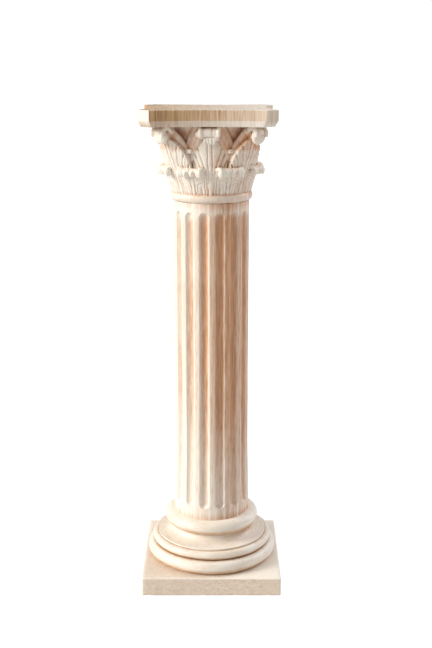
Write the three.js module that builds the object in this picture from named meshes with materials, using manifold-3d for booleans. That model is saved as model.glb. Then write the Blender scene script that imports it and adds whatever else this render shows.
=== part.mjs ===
// Column pedestal in limed wood: square plinth, turned base, fluted shaft, carved leaf capital and a board
// with hollow sides on top. Millimetres, +Z up, origin under the middle of the plinth, front towards -Y.

import * as THREE from 'three';
import { mergeVertices } from 'three/addons/utils/BufferGeometryUtils.js';
import Module from 'manifold-3d';

const wasm = await Module();
wasm.setup();

const { degToRad, radToDeg, lerp } = THREE.MathUtils;
const QUARTER = Math.PI / 2;

// Heights of the joints between the pieces
const TOTAL_HEIGHT = 1000;
const PLINTH_TOP = 39;
const BASE_TOP = 141;
const SHAFT_TOP = 815.5;
const CAPITAL_TOP = 967.8;

// Plinth
const PLINTH_WIDTH = 291;
const PLINTH_EDGE_ROUND = 2;

// Turned base, upwards: lower roll, groove, small roll, lip, hollow and upper roll
const BASE_SIDES = 36;
const LOWER_ROLL_RADIUS = 139;
const LOWER_ROLL_HEIGHT = 31;
const SMALL_ROLL_RADIUS = 128.5;
const SMALL_ROLL_HEIGHT = 18;
const GROOVE_DEPTH = 9;
const LIP_RADIUS = 117;
const LIP_HEIGHT = 4;
const HOLLOW_TOP_RADIUS = 87;
const UPPER_ROLL_RADIUS = 100;
const UPPER_ROLL_HEIGHT = 31;

// Fluted shaft, with the flutes cut by a round-ended tool. Turns are in degrees from the front.
const SHAFT_SIDES = 60;
const SHAFT_FOOT_RADIUS = 80;
const SHAFT_RADIUS = 77.5;
const SHAFT_FLARE_HEIGHT = 180;
const FLUTE_COUNT = 15;
const FIRST_FLUTE_TURN = 13;
const FLUTE_WIDTH = 19.5;
const FLUTE_DEPTH = 7;
const FLUTE_BOTTOM = 166;
const FLUTE_TOP = 797;
const FLUTE_SIDES = 12;
const FLUTE_END_ROWS = 2;

// Capital: ring at the foot and bell. The block leans a little to the left, as it was carved.
const RING_SIDES = 40;
const RING_RADIUS = 84.3;
const RING_HEIGHT = 17.5;
const BELL_SIDES = 16;
const BELL_FOOT_RADIUS = 75;
const BELL_TOP_RADIUS = 98;
const CAPITAL_LEAN = -3.5;

// Leaves: the middle line rises from the ring with a slight belly and rolls over outwards round a curl.
// The roll's angles are in degrees from outwards, and the belly and reaches are shares of the rise.
const LEAF_ROOT_RADIUS = 79;
const LEAF_ROOT_HEIGHT = 831;
const LEAF_BACK_RADIUS = 70;
const LEAF_BELLY = 0.1;
const LEAF_FOOT_REACH = 0.4;
const LEAF_HEAD_REACH = 0.3;
const LEAF_COLUMNS = 2;
const RISE_ROWS = 3;
const ROLL_ROWS = 4;
const FULL_WIDTH_SHARE = 0.33;
const TIP_WIDTH_SHARE = 0.4;
const FACE_LEAF = {
  curlRadius: 98, curlHeight: 949.5, curlSize: 9.5, rollStart: 180, rollEnd: -60,
  rootHalf: 26, half: 36, point: 2.4, lobe: 0.06, cup: 6, thickness: 7,
};
const CORNER_LEAF = {
  curlRadius: 131, curlHeight: 951, curlSize: 9.5, rollStart: 170, rollEnd: -60,
  rootHalf: 24, half: 31, point: 2.2, lobe: 0.06, cup: 6, thickness: 7,
};
const SHORT_LEAF = {
  curlRadius: 100, curlHeight: 880, curlSize: 6, rollStart: 160, rollEnd: -50,
  rootHalf: 25, half: 27, point: 4, lobe: 0.06, cup: 5, thickness: 6,
};
const SHORT_LEAF_TURN = 22.5;

// Stems: each pair springs from between two tall leaves, one to the corner and one to the face.
// Turns are in degrees from the middle of the face.
const STEM_SIZE = 7.5;
const STEM_SIDES = 6;
const STEM_STEPS = 3;
const STEM_BEND = 2.5;
const STEM_FLARE = 1.3;
const STEM_START = { turn: 25, radius: 87, height: 890 };
const CORNER_STEM_END = { turn: 41, radius: 124, height: 959 };
const FACE_STEM_END = { turn: 12, radius: 100, height: 959 };

// Board on top, set a little to the left of the axis
const BOARD_WIDTH = 271;
const BOARD_CORNER_CUT = 24;
const BOARD_HOLLOW = 19;
const BOARD_SLOPE_HEIGHT = 12.4;
const BOARD_SLOPE_INSET = 6.5;
const BOARD_SHIFT = -6;
const HOLLOW_STEPS = 10;

const WELD = 1e-3;

function named(name, geometry, color) {
  const material = new THREE.MeshStandardMaterial({ color, roughness: 0.8, metalness: 0 });
  const mesh = new THREE.Mesh(geometry, material);
  mesh.name = name;
  return mesh;
}

// Points of an arc in the radius and height plane, angles in degrees from outwards, upwards positive.
function arc(radius, height, size, from, to, steps) {
  return Array.from({ length: steps + 1 }, (_, i) => {
    const angle = degToRad(lerp(from, to, i / steps));
    return new THREE.Vector2(radius + size * Math.cos(angle), height + size * Math.sin(angle));
  });
}

// A point at a radius and height, turned by degrees from the front.
function around(radius, degrees, height) {
  const angle = degToRad(degrees);
  return new THREE.Vector3(radius * Math.sin(angle), -radius * Math.cos(angle), height);
}

// A turned piece: the profile runs from the axis at the foot to the axis at the head.
function turned(profile, foot, head, sides) {
  const points = [new THREE.Vector2(0, foot), ...profile, new THREE.Vector2(0, head)];
  return new THREE.LatheGeometry(points, sides).rotateX(QUARTER);
}

// A solid from a closed mesh, for joining and cutting, without the triangles that vanish at the axis.
function solid(geometry) {
  const bare = geometry.clone();
  bare.deleteAttribute('normal');
  bare.deleteAttribute('uv');
  const welded = mergeVertices(bare, WELD);
  const index = welded.getIndex().array;
  const triangles = [];
  for (let i = 0; i < index.length; i += 3) {
    const [a, b, c] = index.slice(i, i + 3);
    if (a !== b && b !== c && c !== a) {
      triangles.push(a, b, c);
    }
  }
  const vertProperties = new Float32Array(welded.getAttribute('position').array);
  return new wasm.Manifold(new wasm.Mesh({ numProp: 3, vertProperties, triVerts: new Uint32Array(triangles) }));
}

function geometryOf(body) {
  const mesh = body.getMesh();
  const geometry = new THREE.BufferGeometry();
  geometry.setAttribute('position', new THREE.BufferAttribute(new Float32Array(mesh.vertProperties), 3));
  geometry.setIndex(new THREE.BufferAttribute(new Uint32Array(mesh.triVerts), 1));
  return geometry;
}

function plinth() {
  const half = PLINTH_WIDTH / 2 - PLINTH_EDGE_ROUND;
  const corners = [[-half, -half], [half, -half], [half, half], [-half, half]];
  const slab = new THREE.ExtrudeGeometry(new THREE.Shape(corners.map(([x, y]) => new THREE.Vector2(x, y))), {
    depth: PLINTH_TOP - 2 * PLINTH_EDGE_ROUND,
    bevelSize: PLINTH_EDGE_ROUND,
    bevelThickness: PLINTH_EDGE_ROUND,
    bevelSegments: 2,
  });
  return slab.translate(0, 0, PLINTH_EDGE_ROUND);
}

function base() {
  const lower = LOWER_ROLL_HEIGHT / 2;
  const small = SMALL_ROLL_HEIGHT / 2;
  const upper = UPPER_ROLL_HEIGHT / 2;
  const groove = PLINTH_TOP + LOWER_ROLL_HEIGHT;
  const lip = groove + SMALL_ROLL_HEIGHT;
  const hollow = new THREE.QuadraticBezierCurve(
    new THREE.Vector2(LIP_RADIUS, lip + LIP_HEIGHT),
    new THREE.Vector2(HOLLOW_TOP_RADIUS, lip + LIP_HEIGHT),
    new THREE.Vector2(HOLLOW_TOP_RADIUS, BASE_TOP - UPPER_ROLL_HEIGHT),
  );
  const profile = [
    ...arc(LOWER_ROLL_RADIUS - lower, PLINTH_TOP + lower, lower, -90, 60, 7),
    new THREE.Vector2(SMALL_ROLL_RADIUS - GROOVE_DEPTH, groove),
    ...arc(SMALL_ROLL_RADIUS - small, groove + small, small, -60, 90, 5),
    new THREE.Vector2(LIP_RADIUS, lip),
    ...hollow.getPoints(4),
    ...arc(UPPER_ROLL_RADIUS - upper, BASE_TOP - upper, upper, -90, 90, 7).slice(1),
  ];
  return turned(profile, PLINTH_TOP, BASE_TOP, BASE_SIDES);
}

function flute(index) {
  const size = (FLUTE_WIDTH ** 2 / 4 + FLUTE_DEPTH ** 2) / (2 * FLUTE_DEPTH);
  const length = FLUTE_TOP - FLUTE_BOTTOM - FLUTE_WIDTH;
  const turn = FIRST_FLUTE_TURN + (360 * index) / FLUTE_COUNT;
  const place = around(SHAFT_RADIUS - FLUTE_DEPTH + size, turn, (FLUTE_TOP + FLUTE_BOTTOM) / 2);
  const tool = new THREE.CapsuleGeometry(size, length, FLUTE_END_ROWS, FLUTE_SIDES);
  return tool.rotateX(QUARTER).rotateZ(degToRad(turn)).translate(...place);
}

function shaft() {
  const flare = new THREE.QuadraticBezierCurve(
    new THREE.Vector2(SHAFT_FOOT_RADIUS, BASE_TOP),
    new THREE.Vector2(SHAFT_RADIUS, BASE_TOP + SHAFT_FLARE_HEIGHT / 2),
    new THREE.Vector2(SHAFT_RADIUS, BASE_TOP + SHAFT_FLARE_HEIGHT),
  );
  const profile = [...flare.getPoints(3), new THREE.Vector2(SHAFT_RADIUS, SHAFT_TOP)];
  let body = solid(turned(profile, BASE_TOP, SHAFT_TOP, SHAFT_SIDES));
  for (let i = 0; i < FLUTE_COUNT; i += 1) {
    body = body.subtract(solid(flute(i)));
  }
  return geometryOf(body);
}

function ring() {
  const half = RING_HEIGHT / 2;
  const profile = arc(RING_RADIUS - half, SHAFT_TOP + half, half, -90, 90, 5);
  return turned(profile, SHAFT_TOP, SHAFT_TOP + RING_HEIGHT, RING_SIDES);
}

function bell() {
  const foot = SHAFT_TOP + RING_HEIGHT / 2;
  const wall = new THREE.QuadraticBezierCurve(
    new THREE.Vector2(BELL_FOOT_RADIUS, foot),
    new THREE.Vector2(BELL_FOOT_RADIUS, CAPITAL_TOP - 2 * RING_HEIGHT),
    new THREE.Vector2(BELL_TOP_RADIUS, CAPITAL_TOP),
  );
  return turned(wall.getPoints(2), foot, CAPITAL_TOP, BELL_SIDES);
}

function leafSpine({ curlRadius, curlHeight, curlSize, rollStart, rollEnd }) {
  const roll = arc(curlRadius, curlHeight, curlSize, rollStart, rollEnd, ROLL_ROWS);
  const rise = curlHeight - LEAF_ROOT_HEIGHT;
  const angle = degToRad(rollStart);
  const upwards = new THREE.Vector2(Math.sin(angle), -Math.cos(angle));
  const body = new THREE.CubicBezierCurve(
    new THREE.Vector2(LEAF_ROOT_RADIUS, LEAF_ROOT_HEIGHT),
    new THREE.Vector2(LEAF_ROOT_RADIUS + LEAF_BELLY * rise, LEAF_ROOT_HEIGHT + LEAF_FOOT_REACH * rise),
    roll[0].clone().addScaledVector(upwards, -LEAF_HEAD_REACH * rise),
    roll[0],
  );
  return [...body.getPoints(RISE_ROWS), ...roll.slice(1)];
}

// A leaf is a block bent along its middle line and wrapped round the bell, with its edges turned back and a
// lobed outline. The rising part is solid back into the bell, and only the rolled tip stands free.
function leaf(form, degrees) {
  const spine = leafSpine(form);
  const rows = spine.length - 1;
  const block = new THREE.BoxGeometry(2, rows, 2, LEAF_COLUMNS, rows, 1);
  const position = block.getAttribute('position');
  for (let i = 0; i < position.count; i += 1) {
    const across = position.getX(i);
    const row = Math.round(position.getY(i) + rows / 2);
    const share = row / rows;
    const here = spine[row];
    const ahead = spine[Math.min(row + 1, rows)].clone().sub(spine[Math.max(row - 1, 0)]).normalize();
    const taper = Math.max(Math.sqrt(1 - share ** form.point), TIP_WIDTH_SHARE);
    const lobe = row % 2 ? 1 : 1 - form.lobe;
    const half = lerp(form.rootHalf, form.half, Math.min(share / FULL_WIDTH_SHARE, 1)) * taper * lobe;
    const turn = radToDeg((across * half) / here.x);
    const lift = (position.getZ(i) * form.thickness) / 2 - form.cup * across ** 2 * (1 - share);
    const inBell = position.getZ(i) < 0 && row <= RISE_ROWS;
    const radius = inBell ? LEAF_BACK_RADIUS : here.x + ahead.y * lift;
    const height = inBell ? here.y : here.y - ahead.x * lift;
    position.setXYZ(i, ...around(radius, degrees + turn, height));
  }
  return block;
}

// A stem rises between the leaves and bends over sideways to its end under the board.
function stem(end, side, degrees) {
  const path = [];
  for (let i = 0; i <= STEM_STEPS; i += 1) {
    const share = i / STEM_STEPS;
    const turn = lerp(STEM_START.turn, end.turn, share ** STEM_BEND);
    const radius = lerp(STEM_START.radius, end.radius, share ** STEM_FLARE);
    const height = lerp(STEM_START.height, end.height, Math.sin(share * QUARTER));
    path.push(around(radius, degrees + side * turn, height));
  }
  return new THREE.ExtrudeGeometry(new THREE.Shape().absarc(0, 0, STEM_SIZE, 0, 2 * Math.PI), {
    steps: STEM_STEPS,
    curveSegments: STEM_SIDES / 2,
    bevelEnabled: false,
    extrudePath: new THREE.CatmullRomCurve3(path),
  });
}

function capital() {
  const carving = [];
  for (let face = 0; face < 360; face += 90) {
    carving.push(leaf(FACE_LEAF, face), leaf(CORNER_LEAF, face + 45));
    for (const side of [-1, 1]) {
      carving.push(leaf(SHORT_LEAF, face + side * SHORT_LEAF_TURN));
      carving.push(stem(CORNER_STEM_END, side, face), stem(FACE_STEM_END, side, face));
    }
  }
  const core = solid(ring()).add(solid(bell()));
  const body = carving.reduce((whole, piece) => whole.add(solid(piece)), core);
  const lean = CAPITAL_LEAN / (CAPITAL_TOP - SHAFT_TOP);
  const leaning = new THREE.Matrix4().makeShear(0, 0, 0, 0, lean, 0);
  return geometryOf(body).applyMatrix4(leaning).translate(-lean * SHAFT_TOP, 0, 0);
}

// The board: outline with four hollow sides and cut corners, its lowest edge drawn in to make the slope.
function abacus() {
  const half = BOARD_WIDTH / 2;
  const reach = half - BOARD_CORNER_CUT;
  const size = (reach ** 2 + BOARD_HOLLOW ** 2) / (2 * BOARD_HOLLOW);
  const spread = Math.asin(reach / size);
  const outline = [];
  for (let side = 0; side < 4; side += 1) {
    for (let i = 0; i <= HOLLOW_STEPS; i += 1) {
      const angle = lerp(-spread, spread, i / HOLLOW_STEPS);
      const inwards = BOARD_HOLLOW - size * (1 - Math.cos(angle));
      const point = new THREE.Vector2(size * Math.sin(angle), inwards - half);
      outline.push(point.rotateAround(new THREE.Vector2(), side * QUARTER));
    }
  }
  const heights = [CAPITAL_TOP, CAPITAL_TOP + BOARD_SLOPE_HEIGHT, TOTAL_HEIGHT];
  const steps = heights.length - 1;
  const options = { depth: steps, steps, bevelEnabled: false };
  const board = new THREE.ExtrudeGeometry(new THREE.Shape(outline), options);
  const position = board.getAttribute('position');
  for (let i = 0; i < position.count; i += 1) {
    const step = Math.round(position.getZ(i));
    const shrink = step === 0 ? 1 - BOARD_SLOPE_INSET / half : 1;
    position.setXYZ(i, position.getX(i) * shrink, position.getY(i) * shrink, heights[step]);
  }
  return board.translate(BOARD_SHIFT, 0, 0);
}

const pedestal = new THREE.Group();
pedestal.add(
  named('plinth', plinth(), 0xd9c4ab),
  named('base', base(), 0xe6d3bb),
  named('shaft', shaft(), 0xe0c4a4),
  named('capital', capital(), 0xdcc4a8),
  named('abacus', abacus(), 0xb98f5f),
);

export default pedestal;
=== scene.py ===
"""Column pedestal in limed wood: plinth, turned base, fluted shaft, carved capital and board."""

import math
from typing import NamedTuple

import bmesh
import bpy
from bpy.props import FloatProperty, FloatVectorProperty, IntProperty, PointerProperty
from mathutils import Matrix, Vector, geometry, noise


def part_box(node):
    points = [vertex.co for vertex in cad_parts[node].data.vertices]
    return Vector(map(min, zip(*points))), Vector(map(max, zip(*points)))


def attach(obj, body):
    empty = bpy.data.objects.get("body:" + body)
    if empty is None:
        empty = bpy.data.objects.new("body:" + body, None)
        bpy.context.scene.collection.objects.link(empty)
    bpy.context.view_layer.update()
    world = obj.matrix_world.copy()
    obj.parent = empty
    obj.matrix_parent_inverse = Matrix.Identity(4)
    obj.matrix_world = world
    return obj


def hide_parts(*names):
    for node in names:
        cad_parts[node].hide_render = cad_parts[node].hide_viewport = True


bl_info = {
    "name": "Column Pedestal",
    "version": (1, 0, 0),
    "blender": (4, 5, 0),
    "location": "3D View > Sidebar > Pedestal",
    "description": "Builds a limed wooden column pedestal over its packed solids",
    "category": "Add Mesh",
}

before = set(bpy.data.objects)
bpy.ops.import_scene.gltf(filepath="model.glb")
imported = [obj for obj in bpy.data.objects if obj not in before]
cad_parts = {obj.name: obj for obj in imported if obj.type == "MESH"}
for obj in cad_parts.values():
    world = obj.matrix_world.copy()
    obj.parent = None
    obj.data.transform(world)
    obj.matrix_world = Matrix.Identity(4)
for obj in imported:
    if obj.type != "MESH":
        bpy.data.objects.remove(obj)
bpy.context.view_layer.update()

MM = 0.001
WELD = 0.01 * MM
QUARTER = math.pi / 2
TURN = 2 * math.pi

PLINTH_LOW, PLINTH_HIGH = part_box("plinth")
BASE_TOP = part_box("base")[1].z
SHAFT_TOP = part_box("shaft")[1].z
BOARD_LOW, BOARD_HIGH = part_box("abacus")


def colour(code):
    """An sRGB hex colour as linear red, green and blue."""
    channels = [int(code[i:i + 2], 16) / 255 for i in (0, 2, 4)]
    return tuple(c / 12.92 if c <= 0.04045 else ((c + 0.055) / 1.055) ** 2.4 for c in channels)


def length(name, description, millimetres):
    """A length property with its default in millimetres."""
    return FloatProperty(name=name, description=description, default=millimetres * MM, unit="LENGTH",
                         precision=4)


def tint(name, description, code):
    """A colour property with its default as an sRGB hex value."""
    return FloatVectorProperty(name=name, description=description, default=colour(code), subtype="COLOR",
                               size=3, min=0.0, max=1.0)


class PlinthSettings(bpy.types.PropertyGroup):
    """Sizes of the square plinth."""

    edge_round: length("Edge round", "Radius of the worn edges", 2.2)
    wear: length("Wear", "Depth of the knocks along the edges", 1.4)


class BaseSettings(bpy.types.PropertyGroup):
    """Sizes of the turned base, upwards."""

    lower_roll_radius: length("Lower roll", "Radius of the lower roll", 139)
    lower_roll_height: length("Lower roll height", "Height of the lower roll", 31)
    small_roll_radius: length("Small roll", "Radius of the small roll", 128.5)
    small_roll_height: length("Small roll height", "Height of the small roll", 18)
    groove_depth: length("Groove", "Depth of the groove between the two lower rolls", 9)
    lip_radius: length("Lip", "Radius of the lip under the hollow", 117)
    lip_height: length("Lip height", "Height of the lip under the hollow", 4)
    hollow_top_radius: length("Hollow", "Radius at the top of the hollow", 87)
    upper_roll_radius: length("Upper roll", "Radius of the upper roll", 100)
    upper_roll_height: length("Upper roll height", "Height of the upper roll", 31)


class ShaftSettings(bpy.types.PropertyGroup):
    """Sizes of the fluted shaft."""

    foot_radius: length("Foot", "Radius at the foot", 80)
    radius: length("Radius", "Radius above the flared foot", 77.5)
    flare_height: length("Flare", "Height of the flared foot", 180)
    flute_count: IntProperty(name="Flutes", description="Number of flutes", default=15, min=3)
    first_flute: FloatProperty(name="First flute", description="Turn of the first flute from the front",
                               default=math.radians(13), subtype="ANGLE")
    flute_width: length("Flute width", "Width of a flute", 19.5)
    flute_depth: length("Flute depth", "Depth of a flute", 7)
    flute_bottom: length("Flute bottom", "Height of the flutes' lower ends", 166)
    flute_top: length("Flute top", "Height of the flutes' upper ends", 797)
    arris: length("Arris", "Softness of the edges between flutes and lands", 0.5)


class CapitalSettings(bpy.types.PropertyGroup):
    """Sizes of the carved capital."""

    ring_radius: length("Ring", "Radius of the ring at the foot", 84.3)
    ring_height: length("Ring height", "Height of the ring at the foot", 20.5)
    bell_foot_radius: length("Bell foot", "Radius of the bell at its foot", 75)
    bell_top_radius: length("Bell top", "Radius of the bell under the board", 95)
    lean: length("Lean", "Sideways lean of the block", -3.5)
    grain: length("Carving grain", "Finest carving that the mesh keeps", 0.9)


class BoardSettings(bpy.types.PropertyGroup):
    """Sizes of the board on top."""

    corner_cut: length("Corner cut", "Length cut off each corner along the sides", 24)
    hollow: length("Hollow", "Depth of the hollow sides", 19)
    slope_height: length("Slope height", "Height of the sloped lower edge", 12.4)
    slope_inset: length("Slope inset", "How far the lower edge is drawn in", 6.5)
    edge_round: length("Edge round", "Radius of the worn edges", 1.0)


class FinishSettings(bpy.types.PropertyGroup):
    """Colours of the limed wood and of the stage."""

    wash: tint("Lime wash", "Cream lime wash rubbed over the wood", "f0e5d6")
    wood_light: tint("Light wood", "Pale bands of the wood", "e0ae84")
    wood_dark: tint("Dark wood", "Dark bands of the wood", "b67e55")
    base_light: tint("Base, light", "Pale bands of the wood in the base and the plinth", "dcb891")
    base_dark: tint("Base, dark", "Dark bands of the wood in the base and the plinth", "b98a60")
    # Grime and painted shade: dark brown laid into the deepest hollows, partly dirt and partly the shade
    # that falls in creases, recesses and under the leaf tips.
    grime: tint("Grime", "Brown dirt in the deepest hollows", "77583f")
    board_light: tint("Board, light", "Pale stripes of the board", "d8b182")
    board_dark: tint("Board, dark", "Dark stripes of the board", "9c7149")
    floor: tint("Floor", "Grey of the studio floor under its glow", "616264")


class PedestalSettings(bpy.types.PropertyGroup):
    """All settings of the pedestal."""

    plinth: PointerProperty(type=PlinthSettings)
    base: PointerProperty(type=BaseSettings)
    shaft: PointerProperty(type=ShaftSettings)
    capital: PointerProperty(type=CapitalSettings)
    board: PointerProperty(type=BoardSettings)
    finish: PointerProperty(type=FinishSettings)


class Leaf(NamedTuple):
    """One kind of leaf: lengths in millimetres, angles in degrees, places across from -1 to 1."""

    # The rolled tip: the middle and radius of its roll, where the roll starts and ends, and the tip past it.
    curl_radius: float
    curl_height: float
    curl_size: float
    roll_start: float
    roll_end: float
    tail: float
    # How far the blade swells outwards over its foot, as a share of its rise.
    belly: float
    # Half widths at the root, where the leaf is widest, at the neck, across the tip and at the tip's end.
    root_half: float
    half: float
    neck_half: float
    tip_half: float
    end_half: float
    # Shares of the rise between which the blade closes to its neck, and how round it closes.
    dome_from: float
    dome_to: float
    dome_power: float
    # How far the edges lie back, and the blade's thickness.
    cup: float
    thickness: float
    # How much shorter the tip's sides are, and how much its ends swell.
    side_cut: float
    ball: float
    # Places of the tip's cracks, stripes and open mouths.
    cracks: tuple
    stripes: tuple
    mouths: tuple = ()
    # Full ends of the tip: place across in millimetres, half length and half height.
    lumps: tuple = ()
    # Creases, each from a start beside the rib to an end along the edge, and the veins between two of them.
    creases: tuple = ()
    fingers: int = 1
    # Nested arches instead of creases: their middle, height and spacing.
    arches: tuple = ()


# What all the leaves share: lengths in millimetres, shares of a length or depth, and the mesh's steps.
LEAF_ROOT_RADIUS = 77
LEAF_ROOT_HEIGHT = 831
LEAF_BACK_RADIUS = 70
LEAF_FOOT_REACH = 0.4
LEAF_HEAD_REACH = 0.3
RIB_HALF = 4.2
HAND_WANDER = 1.6
HAND_REACH = 13
VEIN_DEPTH = 2.3
VEIN_HALF = 1.6
VEIN_SHARE = 0.45
ARCH_SHARE = 0.6
CREASE_HALF = 2.1
CREASE_SWEEP = 2.5
SLOT_HALF = 2.8
SLOT_REACH = 13
EDGE_NOTCH = 1.6
NOTCH_HALF = 3.5
TIP_STRIPE = 1.0
TIP_STRIPE_HALF = 0.09
TIP_CRACK = 2.6
TIP_SLIT = 3.0
TIP_MOUTH = 5.5
TIP_FRONT = 0.72
TIP_THINNING = 0.3
LUMP_REACH = 2.0
LEAF_COLUMNS = 110
LEAF_ROWS = 140

FACE_LEAF = Leaf(
    curl_radius=98, curl_height=954.5, curl_size=8.5, roll_start=190, roll_end=-10, tail=19, belly=0.16,
    root_half=26, half=35, neck_half=8, tip_half=23, end_half=21,
    dome_from=0.5, dome_to=0.97, dome_power=0.45, cup=7, thickness=7, side_cut=15, ball=3.6,
    cracks=(0.24,), stripes=(-0.3, -0.02), lumps=((-11.5, 16.5, 9.5), (13, 7.5, 12)),
    creases=((17, 72), (10, 88), (6, 102)))
CORNER_LEAF = Leaf(
    curl_radius=131, curl_height=954, curl_size=9, roll_start=170, roll_end=-10, tail=13, belly=0.1,
    root_half=24, half=38, neck_half=9, tip_half=18, end_half=17,
    dome_from=0.5, dome_to=0.92, dome_power=0.5, cup=4, thickness=7, side_cut=9, ball=3.8,
    cracks=(-0.46, 0.46), stripes=(-0.15, 0.18), lumps=((-3, 13, 15), (4, 13, 14.5)),
    creases=((22, 72), (14, 92), (9, 110)), fingers=2)
SHORT_LEAF = Leaf(
    curl_radius=100, curl_height=878.5, curl_size=6.5, roll_start=160, roll_end=-30, tail=5, belly=0.1,
    root_half=29, half=31, neck_half=26, tip_half=29, end_half=26,
    dome_from=0.45, dome_to=1.5, dome_power=0.5, cup=6, thickness=8, side_cut=0, ball=2.2,
    cracks=(0.04,), stripes=(-0.72, -0.46, -0.2, 0.74), mouths=(-0.1, 0.42),
    lumps=((-19, 9, 7.5), (24, 4, 6.5)), arches=(16, 20, 7.2))
SHORT_LEAF_TURN = math.radians(23.5)


def lerp(start, end, share):
    """Value between start and end."""
    return start + (end - start) * share


def smooth(low, high, value):
    """Smooth step from 0 at low to 1 at high."""
    share = min(max((value - low) / (high - low), 0.0), 1.0)
    return share * share * (3.0 - 2.0 * share)


def around(radius, angle, height):
    """A point at a radius and height, turned by an angle from the front."""
    return Vector((radius * math.sin(angle), -radius * math.cos(angle), height))


def arc(radius, height, size, start, end, steps):
    """Points of an arc in the radius and height plane, angles in degrees from outwards."""
    angles = [math.radians(lerp(start, end, i / steps)) for i in range(steps + 1)]
    return [Vector((radius + size * math.cos(a), height + size * math.sin(a))) for a in angles]


def bend(start, pull, end, steps):
    """Points of a curve from start to end that is pulled towards one point."""
    first = start.lerp(pull, 2 / 3)
    second = end.lerp(pull, 2 / 3)
    return [Vector(p[:2]) for p in geometry.interpolate_bezier(start, first, second, end, steps + 1)]


def turned(profile, sides):
    """A bmesh of a profile that starts and ends on the axis, spun round it."""
    bm = bmesh.new()
    verts = [bm.verts.new((radius, 0, height)) for radius, height in profile]
    edges = [bm.edges.new(pair) for pair in zip(verts, verts[1:])]
    bmesh.ops.spin(bm, geom=verts + edges, cent=(0, 0, 0), axis=(0, 0, 1), dvec=(0, 0, 0),
                   angle=TURN, steps=sides, use_merge=True)
    close(bm)
    return bm


def close(bm):
    """Merges doubles, fills open ends and turns the faces outwards."""
    bmesh.ops.remove_doubles(bm, verts=bm.verts, dist=WELD)
    rims = [edge for edge in bm.edges if edge.is_boundary]
    if rims:
        bmesh.ops.holes_fill(bm, edges=rims, sides=0)
    bmesh.ops.recalc_face_normals(bm, faces=bm.faces)


def roughen(bm, amount, size, seed):
    """Moves the surface in and out by smooth noise, as hand work leaves it."""
    bm.normal_update()
    place = Vector((seed, 0.0, 0.0))
    moves = [vert.normal * amount * noise.noise(vert.co / size + place) for vert in bm.verts]
    for vert, move in zip(bm.verts, moves):
        vert.co += move


def mark_hollows(bm, rounds, depth, even=0):
    """Writes how far each vertex lies in a hollow, or minus how far it stands out, as an attribute."""
    bm.normal_update()
    layer = bm.verts.layers.float.new("hollow")
    places = [vert.co.copy() for vert in bm.verts]
    normals = [vert.normal.copy() for vert in bm.verts]
    for _ in range(rounds):
        bmesh.ops.smooth_vert(bm, verts=bm.verts, factor=0.5, use_axis_x=True, use_axis_y=True,
                              use_axis_z=True)
    for vert, place, normal in zip(bm.verts, places, normals):
        vert[layer] = min(max((vert.co - place).dot(normal) / depth, -1.0), 1.0)
        vert.co = place
    for _ in range(even):
        means = [sum(edge.other_vert(vert)[layer] for edge in vert.link_edges) / len(vert.link_edges)
                 for vert in bm.verts]
        for vert, mean in zip(bm.verts, means):
            vert[layer] = (vert[layer] + mean) / 2
    return layer


def wear_edges(bm, layer, amount, size, seed):
    """Knocks the edges back in patches, more where they stand out."""
    bm.normal_update()
    place = Vector((0.0, seed, 0.0))
    for vert in bm.verts:
        patch = smooth(0.1, 0.6, noise.noise(vert.co / size + place))
        vert.co -= vert.normal * amount * patch * max(-vert[layer], 0.0)


def finish_piece(bm, name, node, material, angle=None):
    """Makes the object of a finished bmesh, hides the node that it stands for and hangs the object under the
    root body.
    """
    for face in bm.faces:
        face.smooth = True
    if angle is not None:
        for edge in bm.edges:
            edge.smooth = edge.calc_face_angle(0.0) < angle
    mesh = bpy.data.meshes.new(name)
    bm.to_mesh(mesh)
    bm.free()
    mesh.materials.append(material)
    piece = bpy.data.objects.new(name, mesh)
    bpy.context.scene.collection.objects.link(piece)
    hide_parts(node)
    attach(piece, "root")
    return piece


def add_node(tree, kind, inputs=(), **settings):
    """Adds a node with its settings; inputs pairs a socket with a value or another node's output."""
    node = tree.nodes.new(kind)
    for name, value in settings.items():
        setattr(node, name, value)
    for socket, value in inputs:
        if isinstance(value, bpy.types.NodeSocket):
            tree.links.new(value, node.inputs[socket])
        else:
            node.inputs[socket].default_value = value
    return node


class Finish(NamedTuple):
    """How one piece is limed: its wood's colours, how much wash covers it from 0 to 1, and what thins it."""

    light: tuple
    dark: tuple
    cover: float
    # Weights of the two marks on the mesh, and how much thinner the wash gets per metre to the right.
    hollow: float
    bare: float
    side: float
    # Stretch of the grain along the three axes, and size and stretch of the patches that the rag left.
    grain_scale: tuple
    patch_size: float
    patch_scale: tuple
    # How much patches, grain and fibres show in the wash.
    patch_wear: float
    grain_wear: float
    fibre_wear: float


# Growth bands are about 4 mm wide. Fibres are too fine to show, so they are drawn about ten times coarser.
BAND_WIDTH = 4 * MM
FIBRE_WIDTH = 1.2 * MM


def clouds(tree, place, stretch, size, detail, roughness, distortion=0.0):
    """Noise with spots of one size, stretched along the three axes."""
    stretched = add_node(tree, "ShaderNodeMapping", [("Vector", place), ("Scale", stretch)])
    return add_node(tree, "ShaderNodeTexNoise", [
        ("Vector", stretched.outputs["Vector"]), ("Scale", 1 / size), ("Detail", detail),
        ("Roughness", roughness), ("Distortion", distortion)]).outputs["Fac"]


def blend(tree, share, under, over):
    """The colour between two others, each given as a value or another node's output."""
    inputs = [("Factor", share), ("A", under), ("B", over)]
    return add_node(tree, "ShaderNodeMix", inputs, data_type="RGBA").outputs["Result"]


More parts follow.
